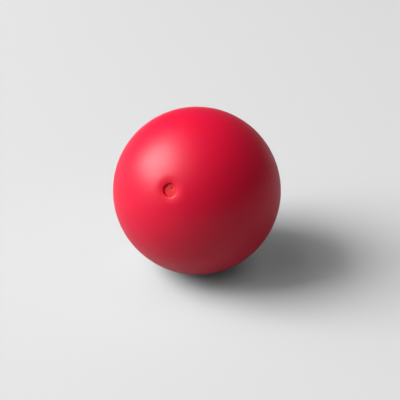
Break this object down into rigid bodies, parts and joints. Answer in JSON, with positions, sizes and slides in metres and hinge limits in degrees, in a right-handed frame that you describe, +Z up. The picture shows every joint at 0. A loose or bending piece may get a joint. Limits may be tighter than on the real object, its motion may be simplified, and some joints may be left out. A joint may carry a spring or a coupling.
{
  "type": "massage ball",
  "caption": "Air-filled soft vinyl massage ball with a recessed inflation valve closed by a pull-out plug.",
  "frame": {"origin": "centre of the flat that the ball rests on", "axes": "+Z up, away from the surface it rests on; -Y towards the side that the valve faces; X=0 is the mirror plane through the valve's axis"},
  "size_m": [0.1, 0.1, 0.0994],
  "materials": {
    "ball_vinyl": "satin",
    "plug_vinyl": "satin",
    "sleeve_vinyl": "satin",
    "seal_rubber": "matte"
  },
  "bodies": {
    "ball": {"ball_shell": "ball_vinyl", "valve_sleeve": "sleeve_vinyl", "check_seal": "seal_rubber"},
    "plug": {"valve_plug": "plug_vinyl"}
  },
  "joints": [
    {"name": "plug_pull", "type": "slide", "parent": "ball", "child": "plug", "axis": [0, -0.8746, 0.4848], "range_m": [0, 0.015]}
  ]
}
